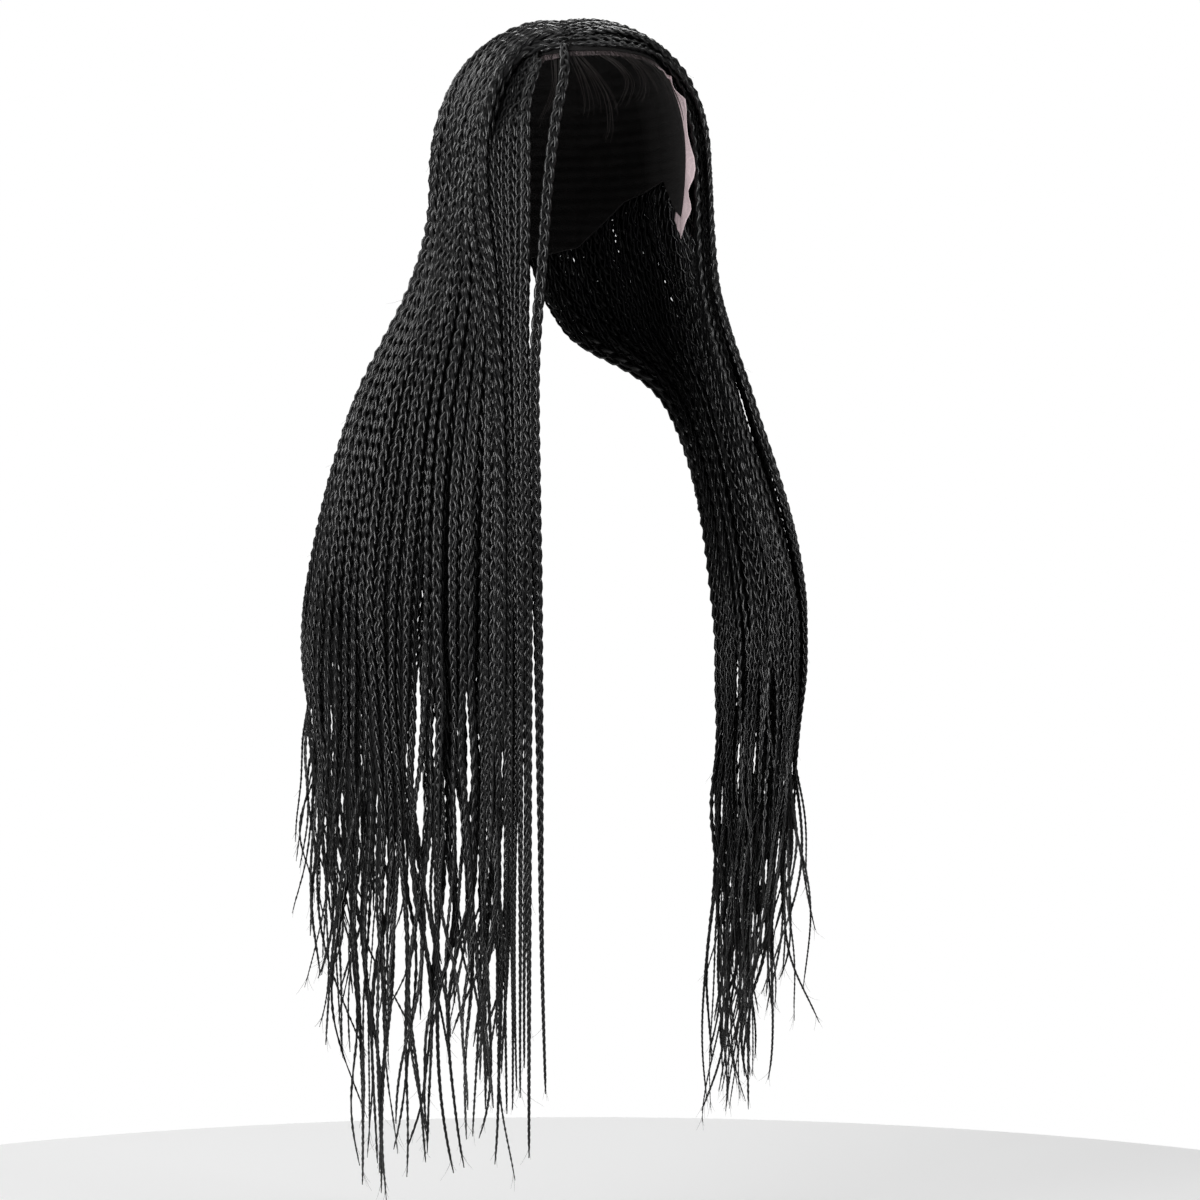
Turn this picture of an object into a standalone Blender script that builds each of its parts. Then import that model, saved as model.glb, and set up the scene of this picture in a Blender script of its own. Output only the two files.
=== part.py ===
"""Long box-braid wig with a lace front, in the form it takes on a head.

Metres, +Z up. The face side looks along -Y and the wearer's left is +X.
The origin is the inside of the cap at the top of the crown, where it sits on the head.
"""

import math

import bmesh
import bpy
import numpy as np
from mathutils import Vector

MM = 0.001

# Head hollow, as half widths and heights in millimetres from the widest level
HEAD_HALF_WIDTH = 78.0
HEAD_HALF_DEPTH = 98.0
HEAD_DOME = 95.0
HEAD_LOWER = 150.0
HEAD_SQUARENESS = 2.3

# Cap and lace
CAP_WALL = 2.0
CAP_ROWS = 7
LACE_WALL = 1.0
LACE_ROWS = 3
LACE_VALLEY_LIFT = 0.5
LACE_END_AZIMUTH = 84.0

# Steps along and down a group of braids from which its slope is measured
SHARE_STEP = 0.004
DOWN_STEP = 0.03

# Braids
PIECE_GAP = 0.6
ROOT_GAP = 0.3
CROWN_CLEARANCE = 1.5
# The right locks are narrower, so their flat facets can start nearer the cap
ROOT_CLEARANCE = 0.7
ROOT_LENGTH_POWER = 6
BARE_PARTING = 0.016
RIGHT_LOCKS = 14
LEFT_LOCKS = 8
LOCK_VARIATION = 0.08
WAIST_SHARE = 0.42
CROWN_SECTIONS = 9
HANGING_SECTIONS = 14
SINGLE_BRAID_WIDTH = 7.0
SINGLE_BRAID_THICKNESS = 5.5
SINGLE_BRAID_SIDES = 6
SINGLE_BRAID_SECTIONS = 34
SINGLE_BRAID_BULGE = 0.05
SINGLE_BRAID_TIP = 0.2

# The parting, as directions from the widest level of the head: front hairline to low crown
PARTING_FRONT = (-0.325, -0.650, 0.690)
PARTING_TOP = (-0.130, 0.080, 0.990)
PARTING_BACK = (0.000, 0.900, 0.430)

# azimuth from the face, height of the cap's edge, lace width past it, lace lift off the skin,
# steps to the next row
EDGE = [
    (-180, -155, 0, 0, 2),
    (-150, -146, 0, 0, 2),
    (-125, -114, 0, 0, 2),
    (-98, -102, 0, 0, 1),
    (-84, -126, 3, 0, 2),
    (-74, -132, 7, 0, 3),
    (-64, -88, 9, 0, 2),
    (-60, -52, 9, 0, 1),
    (-54, -34, 8, 0, 2),
    (-44, -27, 5, 0, 2),
    (-28, -25, 4, 0, 3),
    (0, -24, 4, 0, 3),
    (28, -25, 4, 0, 2),
    (44, -27, 6, 0.5, 3),
    (54, -34, 9, 3, 2),
    (60, -52, 11, 5, 3),
    (64, -88, 12, 6, 5),
    (74, -132, 10, 3, 2),
    (84, -126, 4, 0, 1),
    (98, -102, 0, 0, 2),
    (125, -114, 0, 0, 2),
    (150, -146, 0, 0, 2),
    (180, -155, 0, 0, 0),
]

# Each row is a guide down one group of braids, from the face side to the back.
# Columns: place along the parting, azimuth and height half way over the crown,
# azimuth and height at the ear, lift there, then x, y, z at neck, shoulder and
# chest, and the height of the tip.
RIGHT_GUIDES = [
    (0.10, -54, -26, -62, -86, 2, (-78, -64, -195), (-83, -88, -290), (-88, -104, -406), -795),
    (0.20, -64, -30, -74, -112, 3, (-96, -46, -192), (-122, -60, -285), (-138, -74, -406), -808),
    (0.38, -88, -28, -98, -118, 3, (-98, 2, -188), (-138, 2, -280), (-161, -8, -406), -812),
    (0.58, -118, -30, -126, -122, 3, (-93, 48, -190), (-136, 58, -284), (-163, 70, -406), -655),
    (0.79, -148, -44, -154, -128, 3, (-58, 92, -196), (-90, 110, -290), (-112, 122, -406), -700),
    (1.00, -175, -92, -183, -134, 3, (9, 104, -205), (13, 118, -295), (15, 124, -406), -790),
]
LEFT_GUIDES = [
    (0.05, 46, -28, 62, -96, 2, (84, -38, -190), (106, -46, -276), (138, -77, -406), -690),
    (0.22, 72, -28, 84, -116, 3, (98, -6, -190), (110, -23, -277), (128, -63, -406), -720),
    (0.44, 104, -28, 110, -120, 3, (98, 28, -192), (112, 0, -276), (119, -49, -406), -760),
    (0.62, 128, -34, 132, -124, 3, (85, 60, -198), (110, 22, -271), (113, -34, -406), -775),
    (0.80, 152, -50, 154, -128, 3, (64, 85, -202), (107, 44, -267), (109, -19, -406), -785),
    (0.99, 171, -92, 175, -134, 3, (36, 104, -208), (101, 68, -266), (107, -4, -406), -780),
]

# How far down (0 parting, 1 ear, 2 chest, 3 tip), share of the full width, thickness of a
# lock on the right and on the left, where the hair is gathered
LOCK_PROFILE = [
    (0.0, 0.80, 6, 6),
    (0.25, 1.00, 8, 8),
    (0.6, 1.00, 12, 12),
    (1.0, 1.00, 14, 14),
    (1.33, 1.00, 14, 17),
    (1.66, 1.00, 14, 27),
    (2.0, 1.00, 14, 40),
    (2.5, 0.88, 11, 30),
    (2.8, 0.55, 7, 16),
    (3.0, 0.16, 2.5, 3),
]
OUTER_LOCKS_THINNER = 0.42

# across the lock's width from -1 to 1, share of the thickness
SECTION = [(-1.0, 0.0), (0.0, 0.0), (1.0, 0.0), (1.0, 0.5), (0.62, 0.9), (0.0, 1.0), (-0.62, 0.9), (-1.0, 0.5)]

# The two braids that hang free beside the face: azimuth and height of the root, the wall
# that it sits on, then the centre line from there
FRONT_ROOT_1 = (-30, -21, CAP_WALL)
FRONT_ROOT_2 = (-42, -31, LACE_WALL)
FRONT_BRAID_1 = [
    (-36, -80, -40), (-46, -87, -78), (-53, -91, -122), (-58, -95, -172), (-66, -102, -245),
    (-69, -112, -330), (-69, -115, -406), (-68, -115, -540), (-67, -115, -640), (-64, -115, -742),
]
FRONT_BRAID_2 = [
    (-60, -70, -60), (-64, -77, -98), (-67, -84, -144), (-70, -89, -200),
    (-74, -99, -262), (-77, -109, -320), (-77, -116, -406), (-77, -116, -540), (-76, -115, -690),
    (-75, -115, -785),
]

MATERIALS = {
    "braided_fibre": ((0.012, 0.012, 0.014, 1.0), 0.45),
    "cap_net": ((0.020, 0.018, 0.018, 1.0), 0.85),
    "lace_net": ((0.600, 0.430, 0.450, 1.0), 0.70),
}


def clear_scene():
    for item in list(bpy.data.objects):
        bpy.data.objects.remove(item, do_unlink=True)


def material(name):
    colour, roughness = MATERIALS[name]
    made = bpy.data.materials.new(name)
    made.use_nodes = True
    shader = made.node_tree.nodes["Principled BSDF"]
    shader.inputs["Base Color"].default_value = colour
    shader.inputs["Roughness"].default_value = roughness
    shader.inputs["Metallic"].default_value = 0.0
    return made


def unit(vector):
    vector = np.asarray(vector, dtype=float)
    return vector / np.linalg.norm(vector)


def smooth(values, place):
    """Value at a place in a list of equally spaced values, on a Catmull-Rom curve."""
    values = [np.asarray(value, dtype=float) for value in values]
    last = len(values) - 1
    step = min(int(place), last - 1)
    t = place - step
    p1, p2 = values[step], values[step + 1]
    p0 = values[step - 1] if step > 0 else 2 * p1 - p2
    p3 = values[step + 2] if step + 2 <= last else 2 * p2 - p1
    return p1 + 0.5 * t * (p2 - p0 + t * (2 * p0 - 5 * p1 + 4 * p2 - p3 + t * (3 * (p1 - p2) + p3 - p0)))


def direction(azimuth, height):
    """Unit direction from the widest level of the head to a height at an azimuth from the face."""
    rise = height + HEAD_DOME
    share = rise / (HEAD_DOME if rise >= 0 else HEAD_LOWER)
    across = (1.0 - abs(share) ** HEAD_SQUARENESS) ** (1.0 / HEAD_SQUARENESS)
    angle = math.radians(azimuth)
    return unit((math.sin(angle) * across, -math.cos(angle) * across, share))


def head_surface(way, offset):
    """Point at an offset outside the head hollow in a unit direction."""
    x, y, z = way
    across = math.hypot(x, y)
    power = HEAD_SQUARENESS
    reach = (across**power + abs(z) ** power) ** (-1.0 / power)
    height = HEAD_DOME if z >= 0 else HEAD_LOWER
    point = np.array((HEAD_HALF_WIDTH * x, HEAD_HALF_DEPTH * y, height * z)) * reach
    ring = across ** (power - 2) if across > 1e-9 else 0.0
    rise = math.copysign(abs(z) ** (power - 1), z) if z else 0.0
    normal = unit((ring * x / HEAD_HALF_WIDTH, ring * y / HEAD_HALF_DEPTH, rise / height))
    return point + np.array((0, 0, -HEAD_DOME)) + normal * offset


def head_normal(point):
    """Outward normal of the head at a point close to it."""
    x, y, z = point + np.array((0, 0, HEAD_DOME))
    height = HEAD_DOME if z >= 0 else HEAD_LOWER
    way = unit((x / HEAD_HALF_WIDTH, y / HEAD_HALF_DEPTH, z / height))
    return unit(head_surface(way, 1.0) - head_surface(way, 0.0))


def edge_row(azimuth):
    """Edge height, lace width and lace lift at an azimuth, from the table."""
    columns = np.array(EDGE, dtype=float)
    return [float(np.interp(azimuth, columns[:, 0], columns[:, column])) for column in (1, 2, 3)]


def edge_azimuths(limit):
    """Azimuths of the stations round the cap's edge, within a limit either way from the face."""
    stations = []
    for row, following in zip(EDGE, EDGE[1:]):
        steps = row[4]
        stations += [row[0] + (following[0] - row[0]) * step / steps for step in range(steps)]
    return [azimuth for azimuth in stations + [EDGE[-1][0]] if abs(azimuth) <= limit]


def finish(name, mesh_data, material_name):
    mesh = bpy.data.meshes.new(name)
    bmesh.ops.recalc_face_normals(mesh_data, faces=mesh_data.faces)
    mesh_data.to_mesh(mesh)
    mesh_data.free()
    mesh.shade_smooth()
    mesh.set_sharp_from_angle(angle=math.radians(50))
    piece = bpy.data.objects.new(name, mesh)
    piece.data.materials.append(material(material_name))
    bpy.context.scene.collection.objects.link(piece)
    return piece


def add_loft(shape, sections):
    """Closed tube through rings of equal length, with both ends filled.

    The quads of the second half are split the other way, so that the facing sides of two
    neighbours have the same facets.
    """
    rings = [[shape.verts.new(Vector(point) * MM) for point in section] for section in sections]
    for low, high in zip(rings, rings[1:]):
        for step in range(len(low)):
            following = (step + 1) % len(low)
            if step > len(low) // 2:
                shape.faces.new((low[step], low[following], high[step]))
                shape.faces.new((low[following], high[following], high[step]))
            else:
                shape.faces.new((low[step], low[following], high[following]))
                shape.faces.new((low[step], high[following], high[step]))
    shape.faces.new(rings[0])
    shape.faces.new(rings[-1])


def make_wig_cap():
    """Thin dome of net and wefts, open below, with its edge along the hairline, ears and nape."""
    shape = bmesh.new()
    skins = []
    azimuths = edge_azimuths(180.0)[:-1]
    for offset in (0.0, CAP_WALL):
        pole = shape.verts.new(Vector(head_surface((0, 0, 1), offset)) * MM)
        meridians = []
        for azimuth in azimuths:
            edge = direction(azimuth, edge_row(azimuth)[0])
            lean = math.acos(edge[2])
            column = []
            for row in range(1, CAP_ROWS + 1):
                tilt = lean * row / CAP_ROWS
                angle = math.radians(azimuth)
                way = (math.sin(angle) * math.sin(tilt), -math.cos(angle) * math.sin(tilt), math.cos(tilt))
                column.append(shape.verts.new(Vector(head_surface(way, offset)) * MM))
            meridians.append(column)
        for step, column in enumerate(meridians):
            beside = meridians[(step + 1) % len(azimuths)]
            shape.faces.new((pole, column[0], beside[0]))
            for row in range(CAP_ROWS - 1):
                shape.faces.new((column[row], column[row + 1], beside[row + 1], beside[row]))
        skins.append(meridians)
    inner, outer = skins
    for step in range(len(azimuths)):
        beside = (step + 1) % len(azimuths)
        shape.faces.new((inner[step][-1], inner[beside][-1], outer[beside][-1], outer[step][-1]))
    return finish("wig_cap", shape, "cap_net")


def make_lace_front():
    """Strip of lace net past the cap's front edge, loose and ruffled at the left temple."""
    layers = []
    for offset in (0.0, LACE_WALL):
        rows = []
        for step, azimuth in enumerate(edge_azimuths(LACE_END_AZIMUTH)):
            edge = direction(azimuth, edge_row(azimuth)[0])
            along = direction(azimuth + 1.0, edge_row(azimuth + 1.0)[0])
            along = along - direction(azimuth - 1.0, edge_row(azimuth - 1.0)[0])
            forward = unit(np.cross(along, edge))
            width, lift = edge_row(azimuth)[1:]
            ruffle = 1.0 if step % 2 else LACE_VALLEY_LIFT
            row = []
            for across in range(LACE_ROWS + 1):
                share = across / LACE_ROWS
                reach = (PIECE_GAP + width * share) / HEAD_DOME
                stand = lift * share * ruffle
                row.append(head_surface(unit(edge + forward * reach), offset + stand))
            rows.append(row)
        layers.append(rows)
    shape = bmesh.new()
    add_loft(shape, [inner + outer[::-1] for inner, outer in zip(*layers)])
    return finish("lace_front", shape, "lace_net")


def parting(share):
    """Direction at a share of the way along the parting."""
    front, top, back = (np.array(way) for way in (PARTING_FRONT, PARTING_TOP, PARTING_BACK))
    return unit(smooth([front, top, back], 2.0 * share))


def route(guides, share, down):
    """Point on the inner face of a group: share 0 front to 1 back; down 0 parting, 1 ear, 2 chest, 3 tip."""
    place = share * (len(guides) - 1)
    start, mid_azimuth, mid_height, ear_azimuth, ear_height, lift = (
        float(smooth([guide[column] for guide in guides], place)) for column in range(6)
    )
    neck, shoulder, chest = (smooth([guide[column] for guide in guides], place) for column in (6, 7, 8))
    tip = chest * (1.0, 1.0, 0.0) + (0.0, 0.0, float(smooth([guide[9] for guide in guides], place)))
    first = parting(start)
    middle = direction(mid_azimuth, mid_height)
    ear = direction(ear_azimuth, ear_height)

    def over_crown(part):
        way = first * (1 - part) * (1 - 2 * part) + middle * 4 * part * (1 - part) + ear * part * (2 * part - 1)
        rooted = (1.0 - part) ** ROOT_LENGTH_POWER if guides is RIGHT_GUIDES else 0.0
        clearance = CROWN_CLEARANCE + (ROOT_CLEARANCE - CROWN_CLEARANCE) * rooted
        return head_surface(unit(way), CAP_WALL + clearance + lift * part * part)

    if down <= 1.0:
        return over_crown(down)
    ear_point = over_crown(1.0)
    span = np.linalg.norm(neck - ear_point)
    before = ear_point - unit(ear_point - over_crown(0.9)) * span
    line = [before, ear_point, neck, shoulder, chest, chest + (tip - chest) * WAIST_SHARE, tip]
    return smooth(line, 1.0 + 3.0 * (down - 1.0) if down <= 2.0 else 4.0 + 2.0 * (down - 2.0))


def lock_stations():
    """Sections down a lock, closer where it bends."""
    over = [BARE_PARTING + (1.0 - BARE_PARTING) * step / (CROWN_SECTIONS - 1) for step in range(CROWN_SECTIONS)]
    below = [1.0 + 2.0 * step / HANGING_SECTIONS for step in range(1, HANGING_SECTIONS + 1)]
    return over + below


def sheet_frame(guides, share, down, outward):
    """Outward normal, and the way along the sheet toward the back, at a place in a group."""
    inside = min(max(share, SHARE_STEP), 1.0 - SHARE_STEP)
    beside = route(guides, inside + SHARE_STEP, down) - route(guides, inside - SHARE_STEP, down)
    above = route(guides, share, max(down - DOWN_STEP, 0.0))
    ahead = unit(route(guides, share, min(down + DOWN_STEP, 3.0)) - above)
    normal = unit(np.cross(beside, ahead)) * outward
    if down <= 1.0:
        on_head = head_normal(route(guides, share, down))
        normal = unit(on_head - ahead * np.dot(on_head, ahead))
    return normal, unit(np.cross(ahead, normal)) * outward


def make_lock(name, guides, first, last, fuller, outward):
    """One lock of braids between two shares of its group, as wide as its neighbours let it be."""
    profile = np.array(LOCK_PROFILE)
    centre = 0.5 * (first + last)
    sections = []
    for down in lock_stations():
        width = float(np.interp(down, profile[:, 0], profile[:, 1]))
        thickness = float(np.interp(down, profile[:, 0], profile[:, 2 if outward > 0 else 3])) * fuller
        if outward < 0:
            thinner = OUTER_LOCKS_THINNER * (1.0 - math.sin(math.pi * centre)) * min(1.0, max(0.0, down - 1.0))
            thickness *= 1.0 - thinner
        section = []
        for across, depth in SECTION:
            edge = centre + 0.5 * (last - first) * across
            normal, toward_back = sheet_frame(guides, edge, down, outward)
            base = route(guides, centre + (edge - centre) * width, down)
            section.append(base - toward_back * across * 0.5 * PIECE_GAP + normal * depth * thickness)
        sections.append(section)
    shape = bmesh.new()
    add_loft(shape, sections)
    return finish(name, shape, "braided_fibre")


def make_locks(side, guides, count, outward):
    """A lock for each equal share of a group, from the face to the back."""
    for number in range(count):
        fuller = 1.0 + LOCK_VARIATION * (-1) ** number
        make_lock(f"lock_{side}_{number + 1}", guides, number / count, (number + 1) / count, fuller, outward)


def make_front_braid(name, root, rest):
    """A single braid hanging free, oval, with a swelling at each crossing and a fine tip."""
    azimuth, height, wall = root
    seat = head_surface(direction(azimuth, height), wall + ROOT_GAP + 0.5 * SINGLE_BRAID_THICKNESS)
    centre_line = [seat] + rest
    last = len(centre_line) - 1
    sections = []
    for step in range(SINGLE_BRAID_SECTIONS + 1):
        along = step / SINGLE_BRAID_SECTIONS
        place = last * along
        point = smooth(centre_line, place)
        ahead = unit(smooth(centre_line, min(place + 0.1, last)) - smooth(centre_line, max(place - 0.1, 0)))
        side = unit(np.cross(ahead, unit(point * (1.0, 1.0, 0.0))))
        front = np.cross(side, ahead)
        bulge = 1.0 + SINGLE_BRAID_BULGE * (-1) ** step
        slimmer = min(1.0, SINGLE_BRAID_TIP + 2.2 * (1.0 - along)) * bulge
        ring = []
        for corner in range(SINGLE_BRAID_SIDES):
            angle = 2.0 * math.pi * corner / SINGLE_BRAID_SIDES
            across = side * math.cos(angle) * SINGLE_BRAID_WIDTH * 0.5
            ring.append(point + (across + front * math.sin(angle) * SINGLE_BRAID_THICKNESS * 0.5) * slimmer)
        sections.append(ring)
    shape = bmesh.new()
    add_loft(shape, sections)
    return finish(name, shape, "braided_fibre")


def main():
    clear_scene()
    make_wig_cap()
    make_lace_front()
    make_locks("right", RIGHT_GUIDES, RIGHT_LOCKS, 1.0)
    make_locks("left", LEFT_GUIDES, LEFT_LOCKS, -1.0)
    make_front_braid("front_braid_1", FRONT_ROOT_1, FRONT_BRAID_1)
    make_front_braid("front_braid_2", FRONT_ROOT_2, FRONT_BRAID_2)


main()
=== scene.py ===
"""Looks of the long box-braid wig: its braids, lace front, baby hairs, the cap's net and the stage."""

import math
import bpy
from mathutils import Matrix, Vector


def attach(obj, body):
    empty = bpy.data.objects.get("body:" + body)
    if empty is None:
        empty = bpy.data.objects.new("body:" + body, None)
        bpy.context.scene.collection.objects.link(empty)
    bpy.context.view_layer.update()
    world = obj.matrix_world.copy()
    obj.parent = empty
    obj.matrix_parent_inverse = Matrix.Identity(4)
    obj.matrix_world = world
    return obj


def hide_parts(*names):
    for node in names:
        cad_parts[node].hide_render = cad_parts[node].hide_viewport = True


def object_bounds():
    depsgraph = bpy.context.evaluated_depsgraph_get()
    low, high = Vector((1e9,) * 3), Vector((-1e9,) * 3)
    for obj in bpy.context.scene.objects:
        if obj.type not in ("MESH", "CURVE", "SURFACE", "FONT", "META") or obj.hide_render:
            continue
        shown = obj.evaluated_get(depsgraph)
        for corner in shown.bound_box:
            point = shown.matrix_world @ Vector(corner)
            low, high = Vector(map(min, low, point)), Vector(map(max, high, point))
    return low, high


bl_info = {
    "name": "Box braid wig looks",
    "version": (1, 0, 0),
    "blender": (4, 5, 0),
    "location": "View3D > Sidebar > Wig",
    "description": "Dresses the braid wig's solids with three-strand braids, lace and baby hairs",
    "category": "Object",
}

import bmesh
import bpy
import numpy as np
from mathutils import Vector

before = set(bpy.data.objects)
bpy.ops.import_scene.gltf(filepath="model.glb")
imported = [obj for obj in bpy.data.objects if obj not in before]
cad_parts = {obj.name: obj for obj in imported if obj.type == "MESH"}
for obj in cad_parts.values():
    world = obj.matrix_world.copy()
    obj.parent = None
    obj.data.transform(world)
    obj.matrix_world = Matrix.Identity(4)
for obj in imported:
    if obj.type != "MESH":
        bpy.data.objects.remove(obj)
CAD_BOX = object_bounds()

MM = 0.001
FIBRE_NAME = "heat_set_braiding_fibre"

# The head hollow and the cap, as the solids have them, in millimetres
HEAD_HALF_WIDTH = 78.0
HEAD_HALF_DEPTH = 98.0
HEAD_DOME = 95.0
HEAD_LOWER = 150.0
HEAD_SQUARENESS = 2.3
CAP_WALL = 2.0
CROWN_CLEARANCE = 1.5

# The parting, as directions from the widest level of the head
PARTING_FRONT = (-0.325, -0.650, 0.690)
PARTING_TOP = (-0.130, 0.080, 0.990)
PARTING_BACK = (0.000, 0.900, 0.430)

# Azimuth from the face, height of the cap's edge, lace width past it, lace lift off the head
EDGE = [
    (-98, -102, 0, 0),
    (-84, -126, 3, 0),
    (-74, -132, 7, 0),
    (-64, -88, 9, 0),
    (-60, -52, 9, 0),
    (-54, -34, 8, 0),
    (-44, -27, 5, 0),
    (-28, -25, 4, 0),
    (0, -24, 4, 0),
    (28, -25, 4, 0),
    (44, -27, 6, 0.5),
    (54, -34, 9, 3),
    (60, -52, 11, 5),
    (64, -88, 12, 6),
    (74, -132, 10, 3),
    (84, -126, 4, 0),
    (98, -102, 0, 0),
]

# Guides down each group, from the face side to the back. Columns: place along the parting,
# azimuth and height half way over the crown, azimuth and height at the ear, lift there,
# then x, y, z at neck, shoulder and chest, and the height of the tip.
RIGHT_GUIDES = [
    (0.10, -54, -26, -62, -86, 2, (-78, -64, -195), (-83, -88, -290), (-88, -104, -406), -795),
    (0.20, -64, -30, -74, -112, 3, (-96, -46, -192), (-122, -60, -285), (-138, -74, -406), -808),
    (0.38, -88, -28, -98, -118, 3, (-98, 2, -188), (-138, 2, -280), (-161, -8, -406), -812),
    (0.58, -118, -30, -126, -122, 3, (-93, 48, -190), (-136, 58, -284), (-163, 70, -406), -655),
    (0.79, -148, -44, -154, -128, 3, (-58, 92, -196), (-90, 110, -290), (-112, 122, -406), -700),
    (1.00, -175, -92, -183, -134, 3, (9, 104, -205), (13, 118, -295), (15, 124, -406), -790),
]
LEFT_GUIDES = [
    (0.05, 46, -28, 62, -96, 2, (84, -38, -190), (106, -46, -276), (138, -77, -406), -690),
    (0.22, 72, -28, 84, -116, 3, (98, -6, -190), (110, -23, -277), (128, -63, -406), -720),
    (0.44, 104, -28, 110, -120, 3, (98, 28, -192), (112, 0, -276), (119, -49, -406), -760),
    (0.62, 128, -34, 132, -124, 3, (85, 60, -198), (110, 22, -271), (113, -34, -406), -775),
    (0.80, 152, -50, 154, -128, 3, (64, 85, -202), (107, 44, -267), (109, -19, -406), -785),
    (0.99, 171, -92, 175, -134, 3, (36, 104, -208), (101, 68, -266), (107, -4, -406), -780),
]

# How far down (0 parting, 1 ear, 2 chest, 3 tip), depth of the hair on the right and on the left
DEPTH = [
    (0.0, 6, 6),
    (0.25, 8, 8),
    (0.6, 12, 12),
    (1.0, 14, 14),
    (1.33, 14, 17),
    (1.66, 14, 27),
    (2.0, 14, 40),
    (2.5, 11, 30),
    (2.8, 7, 16),
    (3.0, 4, 5),
]
# How much less deep the left side is at its front and back, from the shoulder down
OUTER_LOCKS_THINNER = 0.42
# Share of the way from chest to tip of the point that steers the hair between them
WAIST_SHARE = 0.42

# Rows of braids on the cap: how many, how far down their roots are, share of the hair's depth
# at the root, ear, chest and tip, scatter of that share, samples in each turn, sides of a strand
RIGHT_ROWS = [
    (34, 0.0, 0.45, 0.90, 0.90, 0.75, 0.06, 8, 5),
    (34, 0.36, 0.12, 0.52, 0.54, 0.55, 0.14, 7, 4),
    (41, 0.72, 0.10, 0.20, 0.20, 0.35, 0.10, 6, 3),
]
LEFT_ROWS = [
    (23, 0.0, 0.45, 0.88, 0.82, 0.72, 0.10, 8, 5),
    (23, 0.36, 0.12, 0.50, 0.46, 0.50, 0.14, 7, 4),
    (31, 0.72, 0.10, 0.20, 0.16, 0.30, 0.08, 6, 3),
]

# For each row: where its braids stand in their spacing, how far they stray from there, their width
RIGHT_OFFSETS = (0.50, 0.17, 0.83)
LEFT_OFFSETS = (0.50, 0.83, 0.17)
ROW_JITTER = (0.10, 0.14, 0.18)
ROW_WIDTHS = (1.0, 1.08, 1.38)
LEFT_WIDTH_SHARE = 0.76

# Tips gather in clumps; each side is a few pieces, and is spaced partly by its width at the chest
RIGHT_CLUMPS = 9
LEFT_CLUMPS = 4
CLUMPING = 0.52
RIGHT_PIECES = 7
LEFT_PIECES = 4
EVEN_SPACING = 0.40
SWELL_SEED = 4
# Rough width of the right side at the chest: a stray in millimetres counts as a share of it
SIDE_WIDTH = 380.0

# Braids tied along the hairline: their heights over the cap's edge, and the azimuths that they
# pass on each side from the root to the ear
HAIRLINE_RISES = (2.5, 7.0, 11.5)
LEFT_HAIRLINE = (-25.0, 8.0, 44.0, 57.0, 62.0)
RIGHT_HAIRLINE = (-27.0, -36.0, -46.0, -54.0, -62.0)
HAIRLINE_LIFT = 2.5

# Loose braids at the right temple: share of the way from the hanging front braid to the right
# side's first braid, azimuths of the roots at share 0 and 1, height of the tips
TEMPLE_SHARES = (0.16, 0.36, 0.56, 0.76, 0.94)
TEMPLE_AZIMUTHS = (-44.0, -61.0)
TEMPLE_TIP = -780.0

# Braids at the nape: share of the way from the right side's last braid to the left side's
NAPE_SHARES = (0.30, 0.56, 0.82)

# Centre lines of the two braids that hang free beside the face
FRONT_BRAIDS = {
    "front_braid_1": [
        (-31, -64, -19), (-36, -80, -40), (-46, -87, -78), (-53, -91, -122), (-58, -95, -172),
        (-66, -102, -245), (-69, -112, -330), (-69, -115, -406), (-68, -115, -540), (-67, -115, -640),
        (-64, -115, -742),
    ],
    "front_braid_2": [
        (-47, -61, -30), (-60, -70, -60), (-64, -77, -98), (-67, -84, -144), (-70, -89, -200),
        (-74, -99, -262), (-77, -109, -320), (-77, -116, -406), (-77, -116, -540), (-76, -115, -690),
        (-75, -115, -785),
    ],
}

# A braid along its length: place, share of full width, share of full turn length
TAPER = [
    (0.0, 0.50, 0.80),
    (0.015, 0.85, 0.90),
    (0.03, 0.94, 1.0),
    (0.12, 1.0, 1.0),
    (0.5, 0.95, 1.0),
    (0.64, 0.76, 0.85),
    (0.78, 0.52, 0.68),
    (0.9, 0.35, 0.50),
    (0.985, 0.25, 0.42),
    (1.0, 0.10, 0.42),
]

# A strand is fatter where it crosses the middle of its braid, by this share
MIDDLE_FATTER = 0.10

# Samples in each turn and sides of a strand, for the braids outside the rows
HAIRLINE_DETAIL = (8, 5)
FRONT_DETAIL = (9, 7)
TEMPLE_DETAIL = (8, 5)
NAPE_DETAIL = (7, 4)
TEMPLE_SCALES = (0.75, 0.95)

# Loose hairs along a braid and at its tip: shortest and longest length, and radius
FLYAWAY_LENGTHS = (5.0, 16.0)
FLYAWAY_RADIUS = 0.13
FRAYED_LENGTHS = (6.0, 15.0)
FRAYED_RADIUS = 0.16
FRAYED_HAIRS = 3

# Seed of the random draws of each group
SEEDS = {"right": 11, "left": 23, "front": 5, "temple": 9, "nape": 14, "baby": 3}

# Baby hairs on the forehead side of the lace: azimuth and height down each one, and hairs in each
BABY_HAIRS = [
    [(-8, -26), (2, -34), (8, -46), (4, -60), (-2, -72)],
    [(6, -25), (14, -33), (17, -45), (13, -58), (6, -66)],
    [(10, -25), (20, -34), (24, -48), (25, -62)],
    [(-22, -27), (-14, -42), (-8, -60), (-7, -80), (-9, -92)],
    [(-26, -27), (-20, -45), (-17, -66), (-20, -84)],
    [(22, -26), (32, -34), (37, -48), (36, -62)],
    [(-36, -30), (-34, -50), (-38, -72), (-42, -88)],
    [(44, -30), (50, -42), (52, -58), (49, -70)],
]
HAIRS_IN_CURL = 7


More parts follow.
